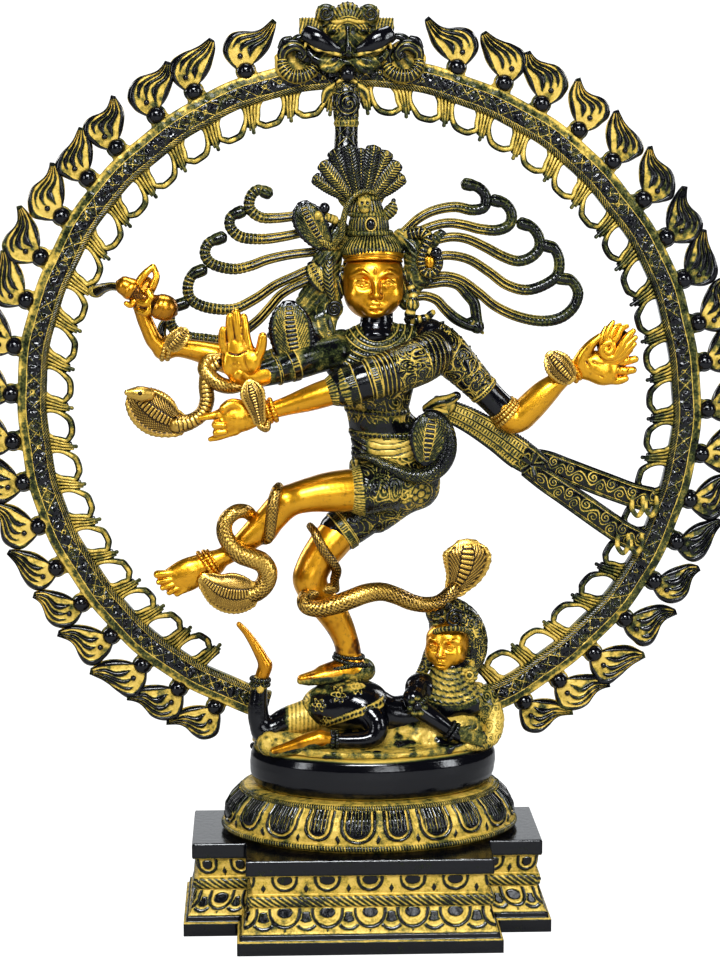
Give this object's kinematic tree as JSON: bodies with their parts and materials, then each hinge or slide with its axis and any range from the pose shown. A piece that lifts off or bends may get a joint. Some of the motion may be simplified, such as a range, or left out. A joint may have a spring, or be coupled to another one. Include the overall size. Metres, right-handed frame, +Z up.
{
  "type": "nataraja statue",
  "caption": "Cast brass dancing figure with four arms on one leg over a prone dwarf, inside an upright ring of flames on a lotus pedestal; a decorative table statue.",
  "frame": {"origin": "middle of the pedestal's underside, which is also the middle of the bounding box's bottom face", "axes": "+Z up, the front of the statue faces -Y, +X is to the viewer's right"},
  "size_m": [0.6188, 0.206, 0.7263],
  "materials": {
    "brass_gold": "polished amber brass with brown in the creases",
    "brass_antique": "antique brass, near-black on the raised faces and yellow-ochre in the recesses",
    "brass_black": "glossy black lacquer patina",
    "steel": "plain zinc-plated fasteners"
  },
  "bodies": {
    "root": {"pedestal": "brass_antique", "lotus_base": "brass_antique", "tie_rod": "steel", "clamp_bar": "steel", "tie_nut": "steel", "cushion_plinth": "brass_black", "kirtimukha_mask": "brass_antique", "crest_post": "brass_antique", "torso": "brass_antique", "head": "brass_gold", "crown": "brass_antique", "feather_fan": "brass_antique", "crown_cobra": "brass_antique", "moon_flower": "brass_antique", "shoulder_cobra": "brass_antique", "blessing_arm": "brass_antique", "blessing_hand": "brass_gold", "wrist_cobra": "brass_antique", "drum_arm": "brass_gold", "drum": "brass_gold", "drum_stay": "brass_antique", "fire_upper_arm": "brass_antique", "fire_forearm": "brass_gold", "fire_bracelet": "brass_gold", "hand_flame": "brass_gold", "pointing_arm": "brass_antique", "pointing_forearm": "brass_gold", "pointing_bracelet": "brass_gold", "hip_cloth": "brass_antique", "standing_leg": "brass_gold", "raised_leg": "brass_gold", "raised_anklet": "brass_gold", "raised_leg_cobra": "brass_antique", "standing_leg_cobra": "brass_antique", "waist_cobra": "brass_antique", "sash_knot": "brass_antique", "sash_upper": "brass_antique", "sash_lower": "brass_antique", "dwarf_body": "brass_black", "dwarf_head": "brass_gold", "dwarf_hair": "brass_antique", "dwarf_earring": "brass_antique", "dwarf_near_arm": "brass_black", "dwarf_far_arm": "brass_antique", "dwarf_bent_leg": "brass_black", "dwarf_raised_leg": "brass_black", "mound": "brass_antique", "ring_half_left": "brass_antique", "ring_half_right": "brass_antique", "tenon_screw_left": "steel", "tenon_screw_right": "steel", "makara_left": "brass_antique", "makara_right": "brass_antique", "hair_left": "brass_antique", "hair_right": "brass_antique", "earring_left": "brass_antique", "earring_right": "brass_antique"}
  },
  "joints": []
}
